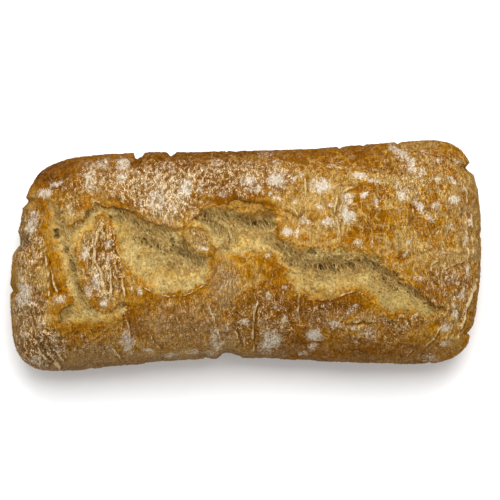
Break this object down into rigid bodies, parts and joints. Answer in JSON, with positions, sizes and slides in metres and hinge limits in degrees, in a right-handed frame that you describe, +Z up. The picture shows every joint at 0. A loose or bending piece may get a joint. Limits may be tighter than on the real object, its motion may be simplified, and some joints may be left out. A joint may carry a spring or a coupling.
{
  "type": "ciabatta roll",
  "caption": "Sandwich-size ciabatta roll with a floured golden-brown crust, torn open along the top to show its crumb; rests on its flat underside.",
  "frame": {"origin": "on the table under the middle of the roll's bounding box", "axes": "+X along the roll towards the end where the long tear runs out, +Y across it towards the unbroken side, +Z up"},
  "size_m": [0.1696, 0.081, 0.0462],
  "materials": {
    "crust": "matte baked crust, golden brown, dusted with flour",
    "crumb": "matte torn crumb, straw yellow, fibrous and open-pored"
  },
  "bodies": {
    "root": {"ciabatta_roll": "crust"}
  },
  "joints": []
}
